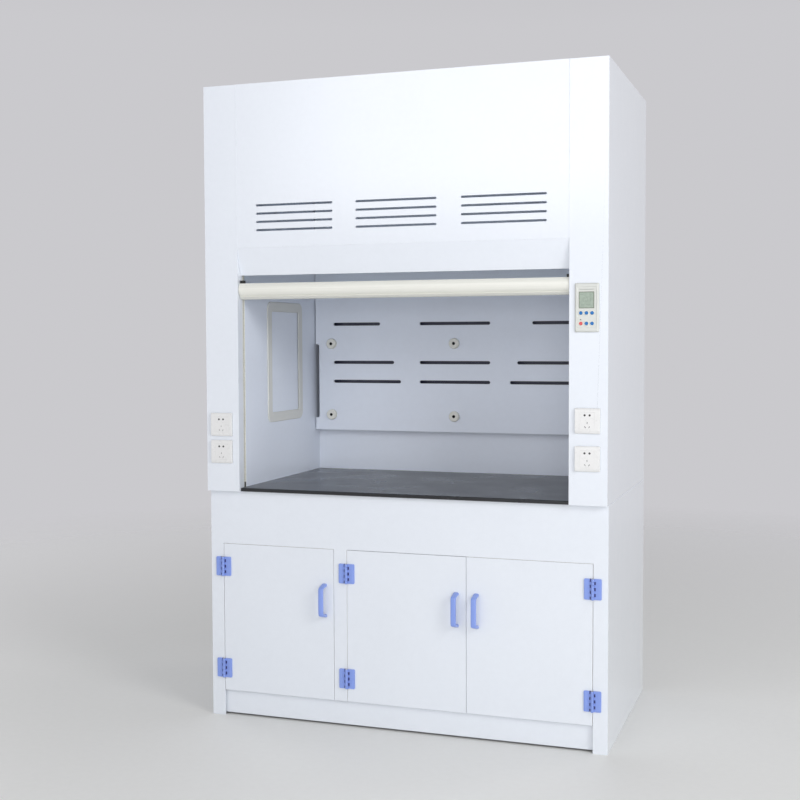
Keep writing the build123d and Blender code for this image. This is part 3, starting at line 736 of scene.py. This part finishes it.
def weld_seams():
    """Beads beside the fascia, round the chamber's back and worktop, and on the outer back and top."""
    front, inside, outside = Shape(), Shape(), Shape()
    rear = BACK - 8
    for side in (-1, 1):
        x, corner = side * JAMB, side * CORNER
        straight_weld(front, (x, FRONT, 1757), (x, FRONT, TOP - 2))
        straight_weld(inside, (x, LINER_Y, WORKTOP + 2), (x, LINER_Y, 2228))
        straight_weld(inside, (x, FRONT + 60, WORKTOP), (x, LINER_Y, WORKTOP))
        straight_weld(outside, (corner, BACK, 4), (corner, BACK, TOP - 4), 1.8)
        straight_weld(outside, (corner, FRONT + 10, TOP), (corner, rear, TOP), 1.8)
    straight_weld(inside, (-JAMB, LINER_Y, WORKTOP), (JAMB, LINER_Y, WORKTOP))
    straight_weld(outside, (2 - CORNER, BACK, 851), (CORNER - 2, BACK, 851), 2.2)
    straight_weld(outside, (2 - CORNER, rear, TOP), (CORNER - 2, rear, TOP), 1.8)
    round_weld(outside, (*COLLAR, FLANGE_TOP), 126.5, 2.4)
    front.build("weld_beads_front", "edge", "hood", slot="pp_shell")
    inside.build("weld_beads_chamber", "pp_liner", "hood", slot="pp_liner")
    outside.build("weld_beads_back_top", "edge", "hood", slot="pp_shell")


def collar_screws():
    """Eight pan-head screws with washers through the flange of the exhaust collar."""
    shape = Shape()
    rows = [(6.0, 0.0), (6.0, 1.0), (5.6, 1.2), (4.3, 1.2), (4.3, 2.4), (3.9, 3.3), (2.9, 3.8),
            (1.5, 3.9), (1.5, 2.6)]
    for k in range(8):
        angle = math.pi / 8 * (2 * k + 1)
        middle = (COLLAR[0] + FLANGE_SCREWS * math.cos(angle), COLLAR[1] + FLANGE_SCREWS * math.sin(angle))
        shape.step(on_flange, [(circle(r, 24, middle), high) for r, high in rows])
    shape.build("collar_screws", "steel", "hood", slot="steel")


def lamp_caps():
    """Metal end caps of the fluorescent tube."""
    shape = Shape()
    y, z = TUBE
    rows = [(458.0, 12.0), (458.0, 13.6), (437.0, 13.6), (436.0, 13.3), (436.0, 12.0)]
    for side in (-1, 1):
        rings = [[Vector((side * x, y + a, z + b)) * MM for a, b in circle(r, 32)] for x, r in rows]
        shape.loft(rings)
    shape.build("lamp_tube_caps", "steel", "hood", slot="steel")


# ---- services -----------------------------------------------------------------------
def rod_bores():
    """A near-black cup in the blind bore of every rod socket: painted shade for the dark depth of the bore.
    """
    shape = Shape()
    rows = [(5.7, 37.0), (5.7, 1.4), (6.2, 1.0), (6.2, 38.0)]
    for x in ROD_X:
        for z in ROD_Z:
            shape.step(in_bore, [(circle(r, 32, (x, z)), deep) for r, deep in rows])
    shape.build("rod_socket_bore_shade", "bore_shade_black", "hood", slot="cream_pvc")


def outlets():
    """Plates that slope at top and bottom, with two round and three slit contact holes each; near-black plugs
    fill the holes close to their mouths as painted shade for their depth.
    """
    plates, bodies, hole_shade = Shape(), Shape(), Shape()
    crown = [(0.0, 0.0, 0.0, 2.0), (0.0, 0.0, 3.6, 2.0), (0.15, 0.4, 4.8, 2.0), (0.45, 1.6, 6.0, 2.0),
             (0.8, 5.0, 7.6, 2.0), (1.0, 8.5, 8.7, 2.0), (1.3, 10.8, 9.1, 2.0), (1.8, 12.0, 9.2, 2.0),
             (2.3, 12.6, 9.2, 2.0)]
    for x, z in OUTLETS:
        middle = (x, z)
        rows = [(rounded(OUTLET_HALF - iu, OUTLET_HALF - iv, r, 6, middle), out) for iu, iv, out, r in crown]
        lip = ((24.5, 29.1, 9.2), (24.0, 28.6, 9.2), (24.0, 28.6, 0.0))
        rows += [(rounded(u, v, 1.2, 6, middle), out) for u, v, out in lip]
        plates.step(on_front, rows, closed=True)
        holes = [circle(3.7, 20, (x + s * 8.5, z + 19.5)) for s in (-1, 1)]
        for du, dv, turn in ((0, -6, 0), (-7.0, -20.5, 28), (7.0, -20.5, -28)):
            c, s = math.cos(math.radians(turn)), math.sin(math.radians(turn))
            slit = rounded(1.1, 3.2, 0.5, 2)
            holes.append([(x + du + c * a - s * b, z + dv + s * a + c * b) for a, b in slit])
        plates.plate(on_front, rounded(24.2, 28.8, 1.2, 6, middle), holes, 6.2, 9.2, 0.02)
        # painted shade: near-black plugs in the holes, 0.3 mm under the face for the round holes and 2 mm for
        # the slits, so that these read grey
        for hole in holes[:2]:
            hole_shade.step(on_front, [(hole, out) for out in (4.0, 8.9)])
        for hole in holes[2:]:
            hole_shade.step(on_front, [(hole, out) for out in (4.0, 7.2)])
        body = [(25.0, 29.0, -34.0), (25.0, 29.0, -1.0), (23.8, 28.4, 0.0), (23.8, 28.4, 6.3)]
        bodies.step(on_front, [(rounded(u, v, 1.0, 4, middle), out) for u, v, out in body])
    plates.build("outlet_crowns", "outlet_white", "hood", ["outlet_plates"])
    bodies.build("outlet_modules", "outlet_white", "hood", ["outlet_sockets"], "socket_white")
    hole_shade.build("outlet_hole_shade", "hole_shade_dark", "hood", slot="socket_white")


def controller_case():
    """A crowned bezel round a recessed key panel with holes for the screen, a slit and the keys."""
    x, z = CONTROL
    panel = (x, z + 2)
    housing = Shape()
    rim = [(0.0, 0.0, 3.0), (0.0, 2.6, 3.0), (0.4, 4.0, 3.0), (2.2, 6.4, 2.8), (4.0, 7.7, 2.4),
           (5.2, 8.0, 2.0), (7.4, 8.0, 1.6)]
    inner = [(33.4, 68.4, 8.0), (32.5, 67.5, 7.4), (32.2, 67.2, 6.0), (32.2, 67.2, 1.0), (30.0, 60.0, 0.0)]
    rows = [(rounded(41 - i, 82 - i, r, 5, CONTROL), out) for i, out, r in rim]
    rows += [(rounded(u, v, 1.6, 5, panel), out) for u, v, out in inner]
    housing.step(on_front, rows, closed=True)
    holes = [rounded(25.7, 27.7, 1.0, 4, SCREEN), rounded(25.0, 1.2, 0.8, 3, (678.0, 1583.0))]
    holes += [circle(6.1, 28, (u, v)) for u in BUTTON_X for v in BUTTON_Z]
    housing.plate(on_front, rounded(32.3, 67.3, 1.4, 5, panel), holes, 1.6, 6.4, 0.25)
    housing.step(on_front, [(rounded(31, 67, 2.0, 5, CONTROL), out) for out in (-36.0, 2.1)])
    housing.build("controller_case", "housing_cream", "hood", ["controller_housing"], "outlet_white")


def screen_parts():
    """A frame round the screen, and faint generic segments on it."""
    border = Shape()
    profile = ((0.0, 5.2), (0.0, 6.9), (0.4, 7.1), (1.6, 7.0), (1.9, 6.5), (1.9, 5.2))
    rows = [(rounded(25.6 - i, 27.6 - i, 0.8, 4, SCREEN), out) for i, out in profile]
    border.step(on_front, rows, closed=True)
    border.build("screen_border", "screen_olive", "hood", slot="screen_grey")
    marks = Shape()
    low, high = 6.35, 6.46
    dial = (674.0, 1549.0)
    rows = [(circle(r, 32, dial), out) for r, out in ((8.4, low), (8.4, high), (7.6, high), (7.6, low))]
    marks.step(on_front, rows, closed=True)
    bars = [(674.0, 1545.0, 3.0, 0.5), (674.0, 1551.0, 3.2, 0.5), (692.0, 1566.0, 4.0, 0.6),
            (692.0, 1561.0, 2.8, 0.6), (662.0, 1566.0, 4.6, 0.6), (664.0, 1531.0, 6.0, 0.6),
            (684.0, 1531.0, 8.0, 0.6), (693.0, 1549.0, 0.6, 6.0), (690.0, 1549.0, 0.6, 3.6)]
    for u, v, wide, tall in bars:
        marks.step(on_front, [(rounded(wide, tall, 0.3, 2, (u, v)), out) for out in (low, high)])
    marks.build("screen_segments", "screen_ink", "hood", slot="screen_grey")


def button_rings():
    """A raised ring round each key, and a small status lamp."""
    rings = Shape()
    profile = ((8.6, 6.3), (8.4, 6.8), (7.9, 7.1), (6.8, 7.1), (6.3, 6.8), (6.2, 6.3))
    for u in BUTTON_X:
        for v in BUTTON_Z:
            rings.step(on_front, [(circle(r, 28, (u, v)), out) for r, out in profile], closed=True)
    rings.build("button_rings", "ring_cream", "hood", slot="outlet_white")
    lamp = Shape()
    rows = [(circle(r, 16, (658.5, 1482.0)), out) for r, out in ((1.7, 6.2), (1.7, 7.0), (1.1, 7.4))]
    lamp.step(on_front, rows)
    lamp.build("status_lamp", "black_rubber", "hood", slot="black_rubber")


hinges()
door_seals()
for door, handle_x in HANDLE_X.items():
    bow_handle(door, handle_x)
    handle_screws(door, handle_x)
gaskets()
ropes()
weld_seams()
collar_screws()
lamp_caps()
rod_bores()
outlets()
controller_case()
screen_parts()
button_rings()


# ---- floor, lights and camera -------------------------------------------------
def floor():
    """A pale floor that thins out into the even surroundings far from the hood."""
    half = 12.0
    mesh = bpy.data.meshes.new("studio_floor")
    corners = [(-half, -half, 0), (half, -half, 0), (half, half, 0), (-half, half, 0)]
    mesh.from_pydata(corners, [], [(0, 1, 2, 3)])
    ground = bpy.data.objects.new("studio_floor", mesh)
    bpy.context.scene.collection.objects.link(ground)
    look = Look("floor_pale", (0.86, 0.86, 0.84), 0.5)
    look.tint(look.noise(40.0, 4.0), 0.985, 1.0)
    away = look.add("ShaderNodeVectorMath", {"operation": "LENGTH"}, Vector=look.stretched((0.1, 0.1, 0.1)))
    fade = look.ramp(away.outputs["Value"], 0.0, 1.0, (0.17, 0.6))
    mix = look.add("ShaderNodeMixShader", Fac=fade)
    clear = look.add("ShaderNodeBsdfTransparent")
    look.tree.links.new(look.shader.outputs["BSDF"], mix.inputs[1])
    look.tree.links.new(clear.outputs["BSDF"], mix.inputs[2])
    look.tree.links.new(mix.outputs["Shader"], look.tree.nodes["Material Output"].inputs["Surface"])
    mesh.materials.append(look.material)


def softbox(name, at, aim, size, radiance, fade=None):
    """A rectangular lamp facing a point; fade gives the shares of its sides between which it is full."""
    data = bpy.data.lights.new(name, "AREA")
    data.shape = "RECTANGLE"
    data.size, data.size_y = size
    data.energy = radiance * math.pi * size[0] * size[1]
    if fade:
        data.use_nodes = True
        tree = data.node_tree
        glow = tree.nodes["Emission"]
        place = tree.nodes.new("ShaderNodeNewGeometry")
        part = tree.nodes.new("ShaderNodeSeparateXYZ")
        tree.links.new(place.outputs["Parametric"], part.inputs["Vector"])
        for axis, socket, (start, end) in (("X", "Color", fade[0]), ("Y", "Strength", fade[1])):
            ramp = tree.nodes.new("ShaderNodeValToRGB")
            ramp.color_ramp.interpolation = "EASE"
            ramp.color_ramp.elements[1].position = start
            ramp.color_ramp.elements.new(end).color = (1, 1, 1, 1)
            ramp.color_ramp.elements.new(1.0).color = (0, 0, 0, 1)
            tree.links.new(part.outputs[axis], ramp.inputs["Fac"])
            tree.links.new(ramp.outputs["Color"], glow.inputs[socket])
    lamp = bpy.data.objects.new(name, data)
    lamp.location = at
    lamp.rotation_euler = (Vector(aim) - Vector(at)).to_track_quat("-Z", "Y").to_euler()
    bpy.context.scene.collection.objects.link(lamp)


def sky(low, high):
    """Even pale surroundings, a little dimmer overhead."""
    world = bpy.data.worlds.new("studio")
    world.use_nodes = True
    tree = world.node_tree
    place = tree.nodes.new("ShaderNodeTexCoord")
    part = tree.nodes.new("ShaderNodeSeparateXYZ")
    ramp = tree.nodes.new("ShaderNodeValToRGB")
    tree.links.new(place.outputs["Generated"], part.inputs["Vector"])
    tree.links.new(part.outputs["Z"], ramp.inputs["Fac"])
    tree.links.new(ramp.outputs["Color"], tree.nodes["Background"].inputs["Color"])
    for stop, height, color in zip(ramp.color_ramp.elements, (0.24, 0.6), (low, high)):
        stop.position = height
        stop.color = (*color, 1)
    bpy.context.scene.world = world


def studio():
    """Soft lamps in front, to the right and behind, in even pale surroundings."""
    bpy.context.scene.view_settings.view_transform = "Standard"
    sky((0.592, 0.588, 0.612), (0.37, 0.373, 0.385))
    softbox("front_bank", (-0.95, -4.2, 2.8), (-0.95, 0.0, 2.8), (3.7, 1.6), 2.3, ((0.36, 0.8), (0.36, 0.86)))
    softbox("high_right", (4.2, -3.2, 3.4), (-0.4, -0.2, 1.2), (2.0, 1.6), 8.7)
    softbox("low_right", (3.7, -2.5, 1.1), (-0.4, -0.3, 1.1), (1.8, 1.4), 1.9)
    softbox("front_soft", (1.3, -5.4, 1.3), (0.0, -0.3, 1.1), (2.2, 1.6), 4.9)
    softbox("rear", (4.8, 3.7, 2.8), (0.3, 0.4, 1.2), (2.0, 1.6), 4.0)
    softbox("rear_left", (-6.0, 2.6, 2.8), (-0.7, 0.2, 1.2), (2.2, 1.6), 5.0)


def camera():
    """A nearly level view from the front and the right, 1.4 m above the floor."""
    yaw, pitch, roll = (math.radians(a) for a in (19.088, -2.816, -0.198))
    forward = Vector((-math.sin(yaw) * math.cos(pitch), math.cos(yaw) * math.cos(pitch), math.sin(pitch)))
    right = Vector((math.cos(yaw), math.sin(yaw), 0))
    up = right.cross(forward)
    turned_right = math.cos(roll) * right + math.sin(roll) * up
    turned_up = math.cos(roll) * up - math.sin(roll) * right
    data = bpy.data.cameras.new("camera")
    data.lens = 55.63
    data.sensor_width = 36.0
    data.shift_x, data.shift_y = -0.005, -0.0006
    eye = bpy.data.objects.new("camera", data)
    turn = Matrix((turned_right, turned_up, -forward)).transposed()
    eye.matrix_world = Matrix.Translation((1.4546, -4.5353, 1.4202)) @ turn.to_4x4()
    bpy.context.scene.collection.objects.link(eye)
    bpy.context.scene.camera = eye


floor()
studio()
camera()
